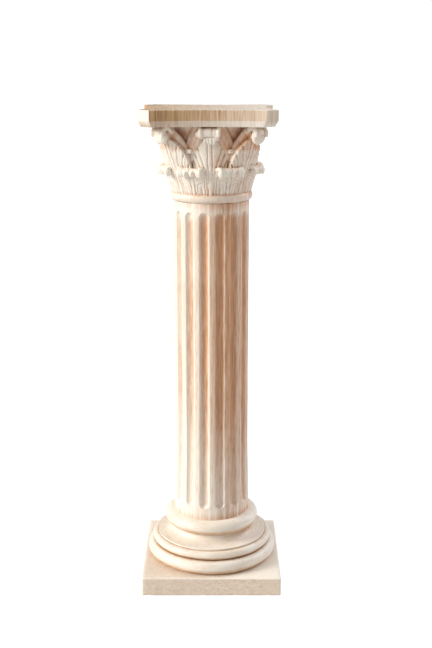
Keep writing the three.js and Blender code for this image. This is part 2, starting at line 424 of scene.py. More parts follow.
def limed_wood(name, tone, look):
    """Pale wood carved or turned by hand, brushed with lime wash and rubbed back.

    The eye sees a dry cream film, thin on high grain and gone in the hollows, over streaked warm wood.
    """
    material = bpy.data.materials.new(name)
    material.use_nodes = True
    tree = material.node_tree
    tree.nodes.clear()
    place = add_node(tree, "ShaderNodeTexCoord").outputs["Object"]
    axes = add_node(tree, "ShaderNodeSeparateXYZ", [("Vector", place)])
    grain = clouds(tree, place, look.grain_scale, BAND_WIDTH, detail=4.0, roughness=0.65, distortion=0.4)
    fibre = clouds(tree, place, look.grain_scale, FIBRE_WIDTH, detail=2.0, roughness=0.5)
    patch = clouds(tree, place, look.patch_scale, look.patch_size, detail=6.0, roughness=0.65)
    hollow = add_node(tree, "ShaderNodeAttribute", attribute_name="hollow").outputs["Fac"]
    bare = add_node(tree, "ShaderNodeAttribute", attribute_name="bare").outputs["Fac"]

    bands = add_node(tree, "ShaderNodeMapRange", [("Value", grain), ("From Min", 0.3), ("From Max", 0.7)],
                     clamp=True)
    wood = blend(tree, bands.outputs["Result"], (*look.dark, 1), (*look.light, 1))
    cover = look.cover - (look.patch_wear + look.grain_wear + look.fibre_wear) / 2
    for source, weight in ((patch, look.patch_wear), (grain, look.grain_wear), (fibre, look.fibre_wear),
                           (hollow, -look.hollow), (bare, -look.bare), (axes.outputs["X"], -look.side)):
        cover = add_node(tree, "ShaderNodeMath", [(0, source), (1, weight), (2, cover)],
                         operation="MULTIPLY_ADD").outputs["Value"]
    film = add_node(tree, "ShaderNodeClamp", [("Value", cover)])
    limed = blend(tree, film.outputs["Result"], wood, (*tone.wash, 1))
    # Painted shade with dirt: the deepest hollows are blended towards the grime colour, darkening creases
    # and recesses where shade falls.
    deep = add_node(tree, "ShaderNodeMapRange", [("Value", hollow), ("From Min", 0.15), ("From Max", 0.9),
                                                 ("To Max", 0.95)], clamp=True)
    skin = blend(tree, deep.outputs["Result"], limed, (*tone.grime, 1))
    relief = add_node(tree, "ShaderNodeMath", [(0, fibre), (1, 0.5), (2, grain)], operation="MULTIPLY_ADD")
    bump = add_node(tree, "ShaderNodeBump", [("Height", relief.outputs["Value"]), ("Strength", 0.35),
                                             ("Distance", 0.6 * MM)])
    shader = add_node(tree, "ShaderNodeBsdfPrincipled", [
        ("Base Color", skin), ("Roughness", 0.4), ("IOR", 1.5), ("Specular IOR Level", 0.5),
        ("Normal", bump.outputs["Normal"])])
    add_node(tree, "ShaderNodeOutputMaterial", [("Surface", shader.outputs["BSDF"])])
    return material


# How bare the foot of the plinth is, scuffed and with a painted contact shadow, and how much wash its top
# keeps at the left and right ends.
FOOT_BARE_AND_SHADE = 1.2
TOP_WASH_AND_LIGHT = (0.3, 1.3)


class PEDESTAL_OT_plinth(bpy.types.Operator):
    """Build the square plinth"""

    bl_idname = "pedestal.plinth"
    bl_label = "Plinth"

    def execute(self, context):
        settings = context.scene.pedestal
        bm = bmesh.new()
        bmesh.ops.create_cube(bm, size=1.0)
        bmesh.ops.scale(bm, vec=PLINTH_HIGH - PLINTH_LOW, verts=bm.verts)
        bmesh.ops.translate(bm, vec=(PLINTH_HIGH + PLINTH_LOW) / 2, verts=bm.verts)
        bmesh.ops.bevel(bm, geom=bm.edges, offset=settings.plinth.edge_round, segments=3, profile=0.5,
                        affect="EDGES", material=-1)
        long_edges = [edge for edge in bm.edges if edge.calc_length() > 0.02]
        bmesh.ops.subdivide_edges(bm, edges=long_edges, cuts=47, use_grid_fill=True)
        layer = mark_hollows(bm, rounds=3, depth=0.6 * MM)
        wear_edges(bm, layer, settings.plinth.wear, size=14 * MM, seed=3.0)
        roughen(bm, amount=0.35 * MM, size=30 * MM, seed=1.0)
        layer = bm.verts.layers.float.new("bare")
        for vert in bm.verts:
            vert.co.z = max(vert.co.z, PLINTH_LOW.z)
            # Painted light: the top keeps more wash than the sides, and more towards the right, where light
            # from above and behind the right falls.
            lit_top = smooth(-2 * MM, 0.0, vert.co.z - PLINTH_HIGH.z)
            # Painted shadow and wear: the bottom few millimetres are bared darker, as scuffs and as the
            # contact shadow on the floor.
            scuffed_and_shaded = 1 - smooth(1 * MM, 4 * MM, vert.co.z - PLINTH_LOW.z)
            wash_and_light = lerp(*TOP_WASH_AND_LIGHT, smooth(PLINTH_LOW.x, PLINTH_HIGH.x, vert.co.x))
            vert[layer] = FOOT_BARE_AND_SHADE * scuffed_and_shaded - lit_top * wash_and_light
        tone = settings.finish
        look = Finish(
            light=tone.base_light, dark=tone.base_dark, cover=0.6, hollow=0.4, bare=0.4, side=0.0,
            grain_scale=(0.4, 1, 1), patch_size=9 * MM, patch_scale=(1, 1, 1),
            patch_wear=0.7, grain_wear=0.25, fibre_wear=1.0)
        finish_piece(bm, "plinth_slab", "plinth", limed_wood("limed plinth wood", tone, look))
        return {"FINISHED"}


# How bare the hollow of the base is where its right side lies under the roll, as a painted shadow of the
# roll, and the wash that it keeps.
HOLLOW_SHADOW = 1.6
HOLLOW_WASH = 0.35


class PEDESTAL_OT_base(bpy.types.Operator):
    """Turn the rolls and hollow of the base"""

    bl_idname = "pedestal.base"
    bl_label = "Base"

    def execute(self, context):
        settings = context.scene.pedestal
        sizes = settings.base
        foot = PLINTH_HIGH.z
        top = BASE_TOP
        lower = sizes.lower_roll_height / 2
        small = sizes.small_roll_height / 2
        upper = sizes.upper_roll_height / 2
        seam = foot + sizes.lower_roll_height
        lip = seam + sizes.small_roll_height
        hollow_foot = Vector((sizes.lip_radius, lip + sizes.lip_height))
        hollow_top = Vector((sizes.hollow_top_radius, top - sizes.upper_roll_height))
        profile = [
            Vector((0, foot)),
            *arc(sizes.lower_roll_radius - lower, foot + lower, lower, -90, 60, 18),
            Vector((sizes.small_roll_radius - sizes.groove_depth, seam)),
            *arc(sizes.small_roll_radius - small, seam + small, small, -60, 90, 14),
            Vector((sizes.lip_radius, lip)),
            *bend(hollow_foot, Vector((hollow_top.x, hollow_foot.y)), hollow_top, 14),
            *arc(sizes.upper_roll_radius - upper, top - upper, upper, -90, 90, 20)[1:],
            Vector((0, top)),
        ]
        bm = turned(profile, sides=160)
        mark_hollows(bm, rounds=4, depth=2.4 * MM)
        layer = bm.verts.layers.float.new("bare")
        for vert in bm.verts:
            in_hollow = smooth(lip, hollow_foot.y + 2 * MM, vert.co.z)
            in_hollow *= smooth(0.0, 3 * MM, hollow_top.y - vert.co.z)
            # Painted shadow: darker bare wood on the hollow's right side, under the roll, where its shadow
            # falls.
            painted_shadow = smooth(10 * MM, 80 * MM, vert.co.x) * smooth(hollow_foot.y, hollow_top.y, vert.co.z)
            # Painted shade: faces turned downwards are bared darker, as the shade under the rolls.
            shaded_underside = smooth(0.0, 0.6, -vert.normal.z)
            vert[layer] = shaded_underside + (HOLLOW_SHADOW * painted_shadow - HOLLOW_WASH) * in_hollow
        roughen(bm, amount=0.5 * MM, size=45 * MM, seed=2.0)
        tone = settings.finish
        look = Finish(
            light=tone.base_light, dark=tone.base_dark, cover=0.73, hollow=1.3, bare=0.8, side=0.0,
            grain_scale=(0.12, 0.12, 1), patch_size=40 * MM, patch_scale=(1, 1, 2),
            patch_wear=0.9, grain_wear=0.3, fibre_wear=0.7)
        finish_piece(bm, "turned_base", "base", limed_wood("limed turned wood", tone, look),
                     angle=math.radians(50))
        return {"FINISHED"}


def groove(gap, half):
    """Depth of a carved line, 1 in its middle, from the distance to it."""
    return 1 - smooth(0.0, half, abs(gap))


def flute_cut(sizes, offset, height):
    """Depth cut by the round-ended tool, below zero where it doesn't reach."""
    half = sizes.flute_width / 2
    tool = (half ** 2 + sizes.flute_depth ** 2) / (2 * sizes.flute_depth)
    beyond = max(sizes.flute_bottom + half - height, height - sizes.flute_top + half, 0.0)
    reach = max(tool ** 2 - offset ** 2 - beyond ** 2, 0.0)
    return math.sqrt(reach) - tool + sizes.flute_depth


def spread(marks):
    """Evenly spaced values through stretches, each given as an end and its number of steps."""
    values = [marks[0]]
    for end, steps in marks[1:]:
        start = values[-1]
        values += [lerp(start, end, (i + 1) / steps) for i in range(steps)]
    return values


# Where the shaft is rubbed bare: the turn from the front, the reach to both sides and how bare it is.
RUBBED_SIDE = math.radians(18)
RUBBED_SPAN = math.radians(38)
RUBBED_BARE = 0.85
# Wash kept along a flute's left and right edges and at its upper end, and how far it reaches; the extra on
# the right edges is a painted highlight and the lack on the left edges painted shade.
LEFT_EDGE_WASH_IN_SHADE = 0.5
RIGHT_EDGE_WASH_AND_HIGHLIGHT = 1.1
EDGE_HALF = 3.2 * MM
NECK_WASH = 0.8
NECK_HALF = 16 * MM
# Low on the shaft more wash is kept and less is rubbed off, but the joint with the base is bare.
LOW_REACH = 350 * MM
LOW_WASH = 0.6
LOW_UNRUBBED = 0.8
JOINT_HALF = 18 * MM
# Wash is caked in the flutes' ends and thins out between these two distances from them, which wander.
CAKED_ENDS = (-5 * MM, 30 * MM)
CAKED_WANDER = 18 * MM


class PEDESTAL_OT_shaft(bpy.types.Operator):
    """Build the fluted shaft"""

    bl_idname = "pedestal.shaft"
    bl_label = "Shaft"

    def execute(self, context):
        settings = context.scene.pedestal
        sizes = settings.shaft
        foot = BASE_TOP
        top = SHAFT_TOP
        end = sizes.flute_width * 0.6
        heights = spread([foot, (sizes.flute_bottom - 2 * MM, 6), (sizes.flute_bottom + end, 14),
                          (sizes.flute_top - end, 64), (sizes.flute_top + 2 * MM, 14), (top, 5)])
        pitch = TURN * sizes.radius / sizes.flute_count
        half = sizes.flute_width / 2
        offsets = spread([-half, (-0.8 * half, 5), (0.8 * half, 12), (half, 5), (pitch - half, 6)])[:-1]
        columns = len(offsets) * sizes.flute_count
        rows = len(heights) - 1
        bm = bmesh.new()
        bmesh.ops.create_grid(bm, x_segments=columns, y_segments=rows, size=1.0)
        layer = bm.verts.layers.float.new("bare")
        for vert in bm.verts:
            column = round((vert.co.x + 1) / 2 * columns)
            height = heights[round((vert.co.y + 1) / 2 * rows)]
            flute, part = divmod(column, len(offsets))
            offset = offsets[part]
            angle = sizes.first_flute + (flute * pitch + offset) / sizes.radius
            past = offset - pitch if offset > pitch / 2 else offset
            cut = flute_cut(sizes, past, height)
            depth = (cut + math.sqrt(cut ** 2 + sizes.arris ** 2)) / 2
            flare = 1 - smooth(0.0, 1.0, (height - foot) / sizes.flare_height)
            radius = lerp(sizes.radius, sizes.foot_radius, flare)
            ends = min(height - sizes.flute_bottom, sizes.flute_top - height)
            ends += CAKED_WANDER * noise.noise(Vector((angle * 9, 0.0, height / (30 * MM))))
            hollow = depth / sizes.flute_depth * smooth(*CAKED_ENDS, ends)
            rubbed = RUBBED_BARE * groove(math.remainder(angle, TURN) - RUBBED_SIDE, RUBBED_SPAN)
            low = 1 - smooth(0.0, LOW_REACH, height - foot)
            joint = groove(height - foot, JOINT_HALF)
            # Painted light: the flutes' right edges keep more wash than their left edges, as the highlight
            # and shade of light from the left.
            wash_and_light = (RIGHT_EDGE_WASH_AND_HIGHLIGHT if past > 0 else LEFT_EDGE_WASH_IN_SHADE) * groove(abs(past) - half, EDGE_HALF)
            wash_and_light += NECK_WASH * groove(height - sizes.flute_top, NECK_HALF) + LOW_WASH * low
            vert[layer] = (hollow + rubbed) * (1 - LOW_UNRUBBED * low) + joint - wash_and_light
            vert.co = around(radius - depth, angle, height)
        close(bm)
        roughen(bm, amount=0.5 * MM, size=60 * MM, seed=5.0)
        tone = settings.finish
        # The side weight thins the wash towards the right: partly thicker wash at the left, partly painted
        # light on the lit left and painted shade on the right.
        look = Finish(
            light=tone.wood_light, dark=tone.wood_dark, cover=0.52, hollow=0.0, bare=0.42, side=5.0,
            grain_scale=(1, 1, 0.06), patch_size=25 * MM, patch_scale=(1, 1, 0.1),
            patch_wear=0.9, grain_wear=0.7, fibre_wear=1.0)
        finish_piece(bm, "fluted_shaft", "shaft", limed_wood("limed fluted wood", tone, look),
                     angle=math.radians(60))
        return {"FINISHED"}


def leaf_line(form):
    """Evenly spaced points of the leaf's middle line, its length and that of its rise, in millimetres."""
    roll = arc(form.curl_radius, form.curl_height, form.curl_size, form.roll_start, form.roll_end, 40)
    rise = form.curl_height - LEAF_ROOT_HEIGHT
    angle = math.radians(form.roll_start)
    upwards = Vector((math.sin(angle), -math.cos(angle)))
    root = Vector((LEAF_ROOT_RADIUS, LEAF_ROOT_HEIGHT))
    foot = root + Vector((form.belly * rise, LEAF_FOOT_REACH * rise))
    head = roll[0] - upwards * LEAF_HEAD_REACH * rise
    body = [Vector(p[:2]) for p in geometry.interpolate_bezier(root, foot, head, roll[0], 60)]
    tail = (roll[-1] - roll[-2]).normalized() * form.tail
    points = body + roll[1:] + [roll[-1] + tail]
    marks = [0.0]
    for here, ahead in zip(points, points[1:]):
        marks.append(marks[-1] + (ahead - here).length)
    line = []
    index = 0
    for row in range(LEAF_ROWS + 1):
        mark = marks[-1] * row / LEAF_ROWS
        while index < len(marks) - 2 and marks[index + 1] < mark:
            index += 1
        share = (mark - marks[index]) / (marks[index + 1] - marks[index])
        line.append(points[index].lerp(points[index + 1], share))
    return line, marks[-1], marks[len(body) - 1]


def leaf_half(form, share):
    """Half width of the leaf at a share of its rise: a dome with a neck under the flared curl."""
    half = lerp(form.root_half, form.half, smooth(0.0, 0.4, share))
    closed = min(max((share - form.dome_from) / (form.dome_to - form.dome_from), 0.0), 1.0)
    half = max(half * (1 - closed ** 2) ** form.dome_power, form.neck_half)
    half = lerp(half, form.tip_half, smooth(0.95, 1.04, share))
    return lerp(half, form.end_half, smooth(1.1, 1.3, share))


def vein_cut(form, offset, distance, rise):
    """Depth of the carved lines: the rib's sides, creases that sweep out to the edge, veins between them."""
    place = Vector((offset / HAND_REACH, distance / HAND_REACH, form.curl_radius))
    offset += HAND_WANDER * noise.noise(place)
    depth = groove(offset - RIB_HALF, VEIN_HALF + 0.4)
    if form.arches:
        eye, height, spacing = form.arches
        reach = math.hypot(offset - eye, max(distance - height, 0.0)) / spacing
        line = (0.5 - abs(reach % 1.0 - 0.5)) * spacing
        beside_rib = smooth(RIB_HALF, RIB_HALF + 2, offset)
        return VEIN_DEPTH * max(depth, ARCH_SHARE * groove(line, VEIN_HALF) * beside_rib)
    lines = [RIB_HALF]
    for start, end in reversed(form.creases):
        lines.append(lerp(start, leaf_half(form, end / rise), (distance / end) ** CREASE_SWEEP))
        slot = smooth(end - SLOT_REACH, end - SLOT_REACH / 2, distance)
        depth = max(depth, groove(offset - lines[-1], lerp(CREASE_HALF, SLOT_HALF, slot)) * (1 + 0.5 * slot))
    lines.append(max(leaf_half(form, distance / rise), lines[-1] + 1))
    for inner, outer in zip(lines, lines[1:]):
        if inner < offset < outer:
            pitch = (outer - inner) / form.fingers
            line = (0.5 - abs((offset - inner) / pitch % 1.0 - 0.5)) * pitch
            depth = max(depth, VEIN_SHARE * groove(line, VEIN_HALF) * smooth(2.4, 4.5, pitch))
    return VEIN_DEPTH * depth


def edge_notch(form, distance):
    """Depth of the notches where two lobes meet at the leaf's edge."""
    return EDGE_NOTCH * max((groove(distance - end, NOTCH_HALF) for _, end in form.creases), default=0.0)


def cuts(places, across, half):
    """Depth of the deepest of several carved lines at a place across the tip."""
    return max((groove(across - place, half) for place in places), default=0.0)


def tip_relief(form, across, roll):
    """How far the rolled tip swells, less what its slit, cracks, stripes and mouths cut away."""
    swell = form.ball * groove(abs(across) - 0.8, 0.3)
    middle = 1 - smooth(0.5, 0.62, abs(across))
    below = smooth(0.3, 0.5, roll)
    crack = TIP_CRACK * cuts(form.cracks, across, TIP_STRIPE_HALF) * below
    slit = 0.0
    if form.side_cut:
        slit = TIP_SLIT * groove(roll - TIP_FRONT, 0.06) * middle
        below = smooth(TIP_FRONT, TIP_FRONT + 0.06, roll)
    stripe = TIP_STRIPE * cuts(form.stripes, across, TIP_STRIPE_HALF) * below
    mouth = TIP_MOUTH * cuts(form.mouths, across, max(0.3 * roll, 0.01)) * smooth(0.5, 0.75, roll)
    return swell - max(slit, stripe, crack, mouth)


def leaf(form):
    """A carved leaf at the front of the bell, as a closed mesh."""
    line, whole, rise = leaf_line(form)
    bm = bmesh.new()
    bmesh.ops.create_grid(bm, x_segments=LEAF_COLUMNS, y_segments=LEAF_ROWS, size=1.0)
    back = bmesh.ops.extrude_face_region(bm, geom=bm.faces[:])["geom"]
    behind = {item for item in back if isinstance(item, bmesh.types.BMVert)}
    for vert in bm.verts:
        across = vert.co.x
        distance = (vert.co.y + 1) / 2 * whole
        teeth = cuts(form.stripes, across, 0.14)
        shorter = form.side_cut * smooth(0.5, 0.64, abs(across)) + form.tail * 0.2 * teeth
        distance -= shorter * smooth(rise, whole, distance)
        tip = smooth(rise - 10, rise + 4, distance)
        place = distance / whole * LEAF_ROWS
        row = min(int(place), LEAF_ROWS - 1)
        here = line[row].lerp(line[row + 1], place - row)
        ahead = (line[row + 1] - line[row]).normalized()
        offset = across * (leaf_half(form, distance / rise) - edge_notch(form, distance))
        cup = form.cup * across ** 2 * (1 - distance / whole)
        half = form.thickness / 2 * (1 - TIP_THINNING * tip)
        if vert in behind and distance < rise:
            blend = smooth(rise - 14, rise, distance)
            radius = lerp(LEAF_BACK_RADIUS, here.x - ahead.y * half, blend)
            height = here.y
        else:
            lift = half - cup - vein_cut(form, abs(offset), distance, rise) * (1 - tip)
            if vert in behind:
                lift = -half - tip_relief(form, across, (distance - rise) / (whole - rise)) * tip
            radius = here.x + ahead.y * lift
            height = here.y - ahead.x * lift
        vert.co = around(radius, offset / here.x, height) * MM
    close(bm)
    return bm


def lumps(form):
    """The full ends of a rolled tip, each given as its place across, half length and half height."""
    bm = bmesh.new()
    front = form.curl_radius + LUMP_REACH
    top = form.curl_height + form.curl_size
    for across, long, high in form.lumps:
        place = Matrix.Translation((across, -front, top - high))
        size = Matrix.Diagonal((long, form.curl_size, high, 1))
        bmesh.ops.create_uvsphere(bm, u_segments=32, v_segments=20, radius=1.0, matrix=place @ size)
    bmesh.ops.scale(bm, vec=(MM, MM, MM), verts=bm.verts)
    return bm


# Places of the stems' ends and of their collar as turn in degrees, radius and height, then their sizes.
STEM_START = (29, 84, 884)
COLLAR = (27, 94.5, 920)
COLLAR_SIZE = (19, 14, 9)
CORNER_STEM_END = (49, 118, 966)
FACE_STEM_END = (9.5, 96, 966)
STEM_BEND = 1.8
STEM_FLARE = 1.5
STEM_FOOT = 0.5
STEM_HALF_WIDTH = 13.5
STEM_HALF_DEPTH = 7
STEM_FLATNESS = 0.7
STEM_LINES = (-0.35, 0.3)
STEM_LINE_HALF = 0.2
STEM_LINE_DEPTH = 0.6
STEM_SIDES = 72
STEM_STEPS = 40


def stem_turn(end, share):
    """Angle of a stem from the middle of its side, in degrees, at a share of its rise."""
    return lerp(STEM_START[0], end[0], max(share, 0.0) ** STEM_BEND)


def on_stem(turn, radius, height):
    """How far a place lies on one of the two stems, from 0 beside it to 1 on it."""
    hits = [0.0]
    for end in (CORNER_STEM_END, FACE_STEM_END):
        share = (height - STEM_START[2]) / (end[2] - STEM_START[2])
        if 0 < share < 1.1 and radius < end[1] + STEM_HALF_DEPTH:
            gap = math.radians(turn - stem_turn(end, min(share, 1.0))) * radius
            hits.append(1 - smooth(STEM_HALF_WIDTH, 1.5 * STEM_HALF_WIDTH, abs(gap)))
    return max(hits)


def stem(end):
    """A ribbed stem that rises beside the front leaf and bends over to its end under the board."""
    bm = bmesh.new()
    bmesh.ops.create_grid(bm, x_segments=STEM_SIDES, y_segments=STEM_STEPS, size=1.0)

    def path(share):
        radius = lerp(STEM_START[1], end[1], max(share, 0.0) ** STEM_FLARE)
        return around(radius, math.radians(stem_turn(end, share)), lerp(STEM_START[2], end[2], share))

    for vert in bm.verts:
        turn = (vert.co.x + 1) * math.pi
        share = (vert.co.y + 1) / 2
        here = path(share)
        ahead = (path(share + 0.02) - path(share - 0.02)).normalized()
        out = Vector((here.x, here.y, 0)).normalized()
        side = ahead.cross(out).normalized()
        out = side.cross(ahead)
        line = STEM_LINE_DEPTH * max(groove(math.cos(turn) - place, STEM_LINE_HALF) for place in STEM_LINES)
        wide = STEM_HALF_WIDTH * lerp(STEM_FOOT, 1.0, smooth(0.0, 0.5, share))
        deep = (STEM_HALF_DEPTH - line) * math.copysign(abs(math.sin(turn)) ** STEM_FLATNESS, math.sin(turn))
        vert.co = (here + side * wide * math.cos(turn) + out * deep) * MM
    close(bm)
    return bm


def collar():
    """The small cup that the two stems of a pair spring from."""
    bm = bmesh.new()
    bmesh.ops.create_cube(bm, size=MM)
    bmesh.ops.scale(bm, vec=COLLAR_SIZE, verts=bm.verts)
    bmesh.ops.bevel(bm, geom=bm.edges, offset=2 * MM, segments=3, profile=0.5, affect="EDGES", material=-1)
    angle = math.radians(COLLAR[0])
    bmesh.ops.rotate(bm, cent=(0, 0, 0), matrix=Matrix.Rotation(angle, 3, "Z"), verts=bm.verts)
    bmesh.ops.translate(bm, vec=around(COLLAR[1], angle, COLLAR[2]) * MM, verts=bm.verts)
    return bm


def stamp(bm, shape, angles, mirrored=False):
    """Adds copies of a shape, each turned round the axis, and frees the shape."""
    mesh = bpy.data.meshes.new("stamp")
    shape.to_mesh(mesh)
    shape.free()
    for angle in angles:
        for flip in ((1, -1) if mirrored else (1,)):
            known = len(bm.verts)
            bm.from_mesh(mesh)
            bm.verts.ensure_lookup_table()
            fresh = bm.verts[known:]
            bmesh.ops.scale(bm, vec=(flip, 1, 1), verts=fresh)
            bmesh.ops.rotate(bm, cent=(0, 0, 0), matrix=Matrix.Rotation(angle, 3, "Z"), verts=fresh)
    bpy.data.meshes.remove(mesh)


# Share of the carved skin's faces that is kept.
SKIN_SHARE = 0.22
# Where the capital is bare: deep between the stems, on them above the collars, on the ring and on one leaf.
DEEP_BARE = 0.75
STEM_BARE = 0.65
RING_BARE = 0.45
LEAF_BARE = 0.6
LEAF_BARE_PLACE = Vector((14, -96, 908)) * MM
LEAF_BARE_REACH = 38 * MM


def drop_pockets(bm):
    """Deletes the closed pockets inside a skin, which don't hang together with its outermost point."""
    start = max(bm.verts, key=lambda vert: vert.co.x)
    kept = {start}
    queue = [start]
    while queue:
        vert = queue.pop()
        fresh = {edge.other_vert(vert) for edge in vert.link_edges} - kept
        kept |= fresh
        queue += fresh
    bmesh.ops.delete(bm, geom=[vert for vert in bm.verts if vert not in kept], context="VERTS")


def carve_in_one(bm, grain):
    """Joins overlapping closed shapes into one skin, as carved from one block, and returns it."""
    bmesh.ops.recalc_face_normals(bm, faces=bm.faces)
    mesh = bpy.data.meshes.new("block")
    bm.to_mesh(mesh)
    bm.free()
    block = bpy.data.objects.new("block", mesh)
    bpy.context.scene.collection.objects.link(block)
    union = block.modifiers.new("union", "REMESH")
    union.mode = "VOXEL"
    union.voxel_size = grain
    sand = block.modifiers.new("sand", "SMOOTH")
    sand.factor = 0.5
    sand.iterations = 3
    thin = block.modifiers.new("thin", "DECIMATE")
    thin.ratio = SKIN_SHARE
    skin = block.evaluated_get(bpy.context.evaluated_depsgraph_get()).to_mesh()
    carved = bmesh.new()
    carved.from_mesh(skin)
    drop_pockets(carved)
    bpy.data.objects.remove(block)
    bpy.data.meshes.remove(mesh)
    return carved


class PEDESTAL_OT_capital(bpy.types.Operator):
    """Carve the leaf capital from one block"""

    bl_idname = "pedestal.capital"
    bl_label = "Capital"

    def execute(self, context):
        settings = context.scene.pedestal
        sizes = settings.capital
        foot = SHAFT_TOP
        top = BOARD_LOW.z
        half = sizes.ring_height / 2
        wall_foot = Vector((sizes.bell_foot_radius, foot + half))
        wall_top = Vector((sizes.bell_top_radius, top))
        pull = Vector((sizes.bell_foot_radius + 7 * MM, top - 2 * sizes.ring_height))
        bm = bmesh.new()
        ring = [Vector((0, foot)), *arc(sizes.ring_radius - half, foot + half, half, -90, 90, 16),
                Vector((0, foot + 2 * half))]
        bell = [Vector((0, foot + half)), *bend(wall_foot, pull, wall_top, 16), Vector((0, top))]
        stamp(bm, turned(ring, sides=128), [0])
        stamp(bm, turned(bell, sides=96), [0])
        faces = [QUARTER * i for i in range(4)]
        corners = [angle + QUARTER / 2 for angle in faces]
        between = [angle + side * SHORT_LEAF_TURN for angle in faces for side in (-1, 1)]
        for form, angles in ((FACE_LEAF, faces), (CORNER_LEAF, corners), (SHORT_LEAF, between)):
            stamp(bm, leaf(form), angles)
            stamp(bm, lumps(form), angles)
        for shape in (stem(CORNER_STEM_END), stem(FACE_STEM_END), collar()):
            stamp(bm, shape, faces, mirrored=True)
        lean = Matrix.Identity(4)
        lean[0][2] = sizes.lean / (top - foot)
        lean[0][3] = -lean[0][2] * foot
        bm = carve_in_one(bm, sizes.grain)
        bmesh.ops.transform(bm, matrix=lean, verts=bm.verts)
        mark_hollows(bm, rounds=8, depth=1.1 * MM, even=2)
        layer = bm.verts.layers.float.new("bare")
        for vert in bm.verts:
            share = (vert.co.z - foot) / (top - foot)
            wall = lerp(sizes.bell_foot_radius, sizes.bell_top_radius, share ** 3)
            across = vert.co.x - sizes.lean * share
            radius = math.hypot(across, vert.co.y)
            deep = (1 - smooth(1 * MM, 5 * MM, radius - wall)) * smooth(0.6, 0.75, share)
            turn = (math.degrees(math.atan2(across, -vert.co.y)) + 45) % 90 - 45
            height = vert.co.z / MM
            stemmed = on_stem(abs(turn), radius / MM, height) * smooth(COLLAR[2] - 4, COLLAR[2] + 6, height)
            ringed = smooth(0.0, 2 * MM, foot + sizes.ring_height - vert.co.z)
            rubbed = groove((vert.co - LEAF_BARE_PLACE).length, LEAF_BARE_REACH)
            vert[layer] = max(DEEP_BARE * deep, STEM_BARE * stemmed, RING_BARE * ringed, LEAF_BARE * rubbed)
        roughen(bm, amount=0.8 * MM, size=22 * MM, seed=8.0)
        tone = settings.finish
        # The side weight thins the wash towards the right, painting light on the lit left of the capital and
        # shade on its right.
        look = Finish(
            light=tone.wood_light, dark=tone.wood_dark, cover=0.82, hollow=0.8, bare=0.8, side=2.1,
            grain_scale=(1, 1, 0.15), patch_size=25 * MM, patch_scale=(1, 1, 1),
            patch_wear=1.4, grain_wear=0.4, fibre_wear=0.4)
        finish_piece(bm, "leaf_capital", "capital",
                     limed_wood("limed carved wood", tone, look))
        return {"FINISHED"}


# Steps of each hollow side, and the wash that the board's corners, top and slope keep over its walls; the
# left corner's heavy wash is a painted highlight and the right corner's thin wash painted shade.
HOLLOW_STEPS = 44
LEFT_CORNER_LIGHT = 2.0
RIGHT_CORNER_SHADE = 0.1
BOARD_TOP_WASH = 0.6
SLOPE_WASH = 0.85


class PEDESTAL_OT_board(bpy.types.Operator):
    """Build the board with hollow sides"""

    bl_idname = "pedestal.board"
    bl_label = "Board"

    def execute(self, context):
        settings = context.scene.pedestal
        sizes = settings.board
        half = (BOARD_HIGH.x - BOARD_LOW.x) / 2
        middle = Vector(((BOARD_HIGH.x + BOARD_LOW.x) / 2, 0, 0))
        reach = half - sizes.corner_cut
        radius = (reach ** 2 + sizes.hollow ** 2) / (2 * sizes.hollow)
        wide = math.asin(reach / radius)
        bm = bmesh.new()
        rim = []
        for side in range(4):
            turn = Matrix.Rotation(side * QUARTER, 3, "Z")
            for i in range(HOLLOW_STEPS + 1):
                angle = lerp(-wide, wide, i / HOLLOW_STEPS)
                inwards = sizes.hollow - radius * (1 - math.cos(angle))
                rim.append(bm.verts.new(turn @ Vector((radius * math.sin(angle), inwards - half, 0))))
        bmesh.ops.contextual_create(bm, geom=rim)
        bmesh.ops.delete(bm, geom=bm.faces[:], context="FACES_ONLY")
        heights = [BOARD_LOW.z, BOARD_LOW.z + sizes.slope_height, BOARD_HIGH.z]
        bmesh.ops.translate(bm, vec=(0, 0, heights[0]), verts=bm.verts)
        edges = bm.edges[:]
        for low, high in zip(heights, heights[1:]):
            grown = bmesh.ops.extrude_edge_only(bm, edges=edges)["geom"]
            edges = [item for item in grown if isinstance(item, bmesh.types.BMEdge)]
            verts = [item for item in grown if isinstance(item, bmesh.types.BMVert)]
            bmesh.ops.translate(bm, vec=(0, 0, high - low), verts=verts)
        inset = 1 - sizes.slope_inset / half
        bmesh.ops.scale(bm, vec=(inset, inset, 1), verts=rim)
        close(bm)
        bmesh.ops.translate(bm, vec=middle, verts=bm.verts)
        sharp = [edge for edge in bm.edges if edge.calc_face_angle(0.0) > math.radians(20)]
        bmesh.ops.bevel(bm, geom=sharp, offset=sizes.edge_round, segments=2, profile=0.5, affect="EDGES",
                        material=-1)
        layer = bm.verts.layers.float.new("bare")
        for vert in bm.verts:
            if abs(vert.co.x - middle.x) + abs(vert.co.y) > 2 * half - sizes.corner_cut - 1 * MM:
                # Painted light: the left cut corner, facing the light, is washed near white; the right one,
                # turned away, keeps little wash.
                vert[layer] = -LEFT_CORNER_LIGHT if vert.co.x < 0 else -RIGHT_CORNER_SHADE
            elif vert.co.z > BOARD_HIGH.z - 0.5 * MM:
                vert[layer] = -BOARD_TOP_WASH
            elif vert.co.z < heights[1] - 0.5 * MM:
                vert[layer] = -SLOPE_WASH
        roughen(bm, amount=0.3 * MM, size=18 * MM, seed=6.0)
        tone = settings.finish
        # The side weight thickens the wash towards the right: partly painted shade on the left of the hollow
        # front, partly its greyer wood there.
        look = Finish(
            light=tone.board_light, dark=tone.board_dark, cover=0.16, hollow=0.0, bare=0.6, side=-2.8,
            grain_scale=(1, 0.12, 0.05), patch_size=45 * MM, patch_scale=(1, 1, 0.3),
            patch_wear=0.4, grain_wear=0.8, fibre_wear=0.4)
        finish_piece(bm, "top_board", "abacus", limed_wood("thinly limed board", tone, look),
                     angle=math.radians(5))
        return {"FINISHED"}


